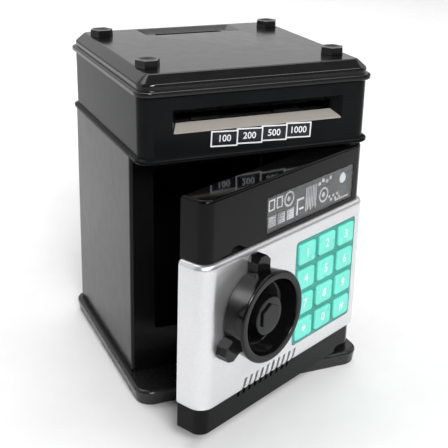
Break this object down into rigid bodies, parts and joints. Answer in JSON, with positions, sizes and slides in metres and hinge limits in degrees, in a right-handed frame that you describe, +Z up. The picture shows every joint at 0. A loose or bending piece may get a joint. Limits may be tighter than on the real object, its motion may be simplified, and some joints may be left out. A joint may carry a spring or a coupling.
{
  "type": "toy cash machine savings bank",
  "caption": "Black toy cash machine money box: note and coin slots in the head, hinged vault door with knob lock, keypad, window and speaker grille.",
  "frame": {"origin": "middle of the plinth underside, on the surface that the bank stands on", "axes": "+Z up, front and door towards -Y, +X to the right of someone facing the door"},
  "size_m": [0.1392, 0.1972, 0.1871],
  "materials": {
    "gloss_black": "polished black ABS",
    "silver": "satin metallic silver paint on ABS",
    "ramp": "satin warm grey",
    "label": "printed film, white frames and figures on black",
    "clear": "clear polished styrene",
    "relief": "moulded grey translucent relief",
    "lamp": "milky lamp",
    "keypad": "satin turquoise",
    "key": "satin light turquoise, white figures",
    "inner_black": "matt black moulding",
    "steel": "zinc-plated steel",
    "rubber": "matt rubber sleeves",
    "nylon": "natural nylon",
    "board": "green solder mask",
    "cell": "plain printed foil sleeve",
    "brass": "turned brass",
    "coil": "enamelled copper winding"
  },
  "bodies": {
    "case": {"base_plinth": "gloss_black", "body_shell": "gloss_black", "head_shell": "gloss_black", "note_ramp": "ramp", "top_cover": "gloss_black", "hex_cap_1": "gloss_black", "hex_cap_2": "gloss_black", "hex_cap_3": "gloss_black", "hex_cap_4": "gloss_black", "note_label": "label", "coin_chute": "inner_black", "feed_bracket_left": "inner_black", "feed_bracket_right": "inner_black", "feed_motor": "steel", "battery_tray": "inner_black", "battery_cell_1": "cell", "battery_cell_2": "cell", "battery_cell_3": "cell", "battery_springs": "steel", "battery_cover": "inner_black", "battery_cover_screw": "steel", "hinge_pin_top": "steel", "hinge_pin_bottom": "steel", "strike_plate": "steel"},
    "feed": {"feed_roller": "rubber", "feed_gear": "nylon"},
    "pinion": {"motor_pinion": "nylon"},
    "idler": {"idler_roller": "rubber"},
    "door": {"door_shell": "gloss_black", "silver_fascia": "silver", "window_lens": "clear", "window_relief": "relief", "status_lamp": "lamp", "keypad_plate": "keypad", "keypad_board": "board", "speaker": "inner_black", "door_back_cover": "inner_black", "door_screw_1": "steel", "door_screw_2": "steel", "door_screw_3": "steel", "door_screw_4": "steel", "solenoid_coil": "coil"},
    "knob": {"knob_wheel": "gloss_black", "knob_cap": "gloss_black", "knob_spindle": "nylon", "lock_tongue": "steel", "tongue_nut": "brass"},
    "plunger": {"solenoid_plunger": "steel"},
    "button_1": {"key_1": "key"},
    "button_2": {"key_2": "key"},
    "button_3": {"key_3": "key"},
    "button_4": {"key_4": "key"},
    "button_5": {"key_5": "key"},
    "button_6": {"key_6": "key"},
    "button_7": {"key_7": "key"},
    "button_8": {"key_8": "key"},
    "button_9": {"key_9": "key"},
    "button_10": {"key_10": "key"},
    "button_11": {"key_11": "key"},
    "button_12": {"key_12": "key"}
  },
  "joints": [
    {"name": "door_hinge", "type": "hinge", "parent": "case", "child": "door", "pos_m": [0.0568, -0.0558, 0.073], "axis": [0, 0, 1], "range_deg": [-26.3, 83.7]},
    {"name": "knob_turn", "type": "hinge", "parent": "door", "child": "knob", "pos_m": [-0.02213, -0.10396, 0.0705], "axis": [0.4431, -0.8965, 0], "range_deg": [0, 90]},
    {"name": "plunger_slide", "type": "slide", "parent": "door", "child": "plunger", "axis": [-0.8965, -0.4431, 0], "range_m": [0, 0.003], "stiffness_N_per_m": 60},
    {"name": "feed_spin", "type": "hinge", "parent": "case", "child": "feed", "pos_m": [0, -0.0425, 0.1532], "axis": [1, 0, 0], "continuous": true},
    {"name": "motor_spin", "type": "hinge", "parent": "case", "child": "pinion", "pos_m": [0.05, -0.031, 0.14806], "axis": [1, 0, 0], "continuous": true},
    {"name": "idler_spin", "type": "hinge", "parent": "case", "child": "idler", "pos_m": [0, -0.0425, 0.1628], "axis": [1, 0, 0], "continuous": true},
    {"name": "key_1_press", "type": "slide", "parent": "door", "child": "button_1", "axis": [-0.4431, 0.8965, 0], "range_m": [0, 0.0008], "stiffness_N_per_m": 500},
    {"name": "key_2_press", "type": "slide", "parent": "door", "child": "button_2", "axis": [-0.4431, 0.8965, 0], "range_m": [0, 0.0008], "stiffness_N_per_m": 500},
    {"name": "key_3_press", "type": "slide", "parent": "door", "child": "button_3", "axis": [-0.4431, 0.8965, 0], "range_m": [0, 0.0008], "stiffness_N_per_m": 500},
    {"name": "key_4_press", "type": "slide", "parent": "door", "child": "button_4", "axis": [-0.4431, 0.8965, 0], "range_m": [0, 0.0008], "stiffness_N_per_m": 500},
    {"name": "key_5_press", "type": "slide", "parent": "door", "child": "button_5", "axis": [-0.4431, 0.8965, 0], "range_m": [0, 0.0008], "stiffness_N_per_m": 500},
    {"name": "key_6_press", "type": "slide", "parent": "door", "child": "button_6", "axis": [-0.4431, 0.8965, 0], "range_m": [0, 0.0008], "stiffness_N_per_m": 500},
    {"name": "key_7_press", "type": "slide", "parent": "door", "child": "button_7", "axis": [-0.4431, 0.8965, 0], "range_m": [0, 0.0008], "stiffness_N_per_m": 500},
    {"name": "key_8_press", "type": "slide", "parent": "door", "child": "button_8", "axis": [-0.4431, 0.8965, 0], "range_m": [0, 0.0008], "stiffness_N_per_m": 500},
    {"name": "key_9_press", "type": "slide", "parent": "door", "child": "button_9", "axis": [-0.4431, 0.8965, 0], "range_m": [0, 0.0008], "stiffness_N_per_m": 500},
    {"name": "key_10_press", "type": "slide", "parent": "door", "child": "button_10", "axis": [-0.4431, 0.8965, 0], "range_m": [0, 0.0008], "stiffness_N_per_m": 500},
    {"name": "key_11_press", "type": "slide", "parent": "door", "child": "button_11", "axis": [-0.4431, 0.8965, 0], "range_m": [0, 0.0008], "stiffness_N_per_m": 500},
    {"name": "key_12_press", "type": "slide", "parent": "door", "child": "button_12", "axis": [-0.4431, 0.8965, 0], "range_m": [0, 0.0008], "stiffness_N_per_m": 500}
  ],
  "couplings": [
    {"joint": "motor_spin", "follows": "feed_spin", "ratio": -2.6},
    {"joint": "idler_spin", "follows": "feed_spin", "ratio": -1.0227}
  ]
}
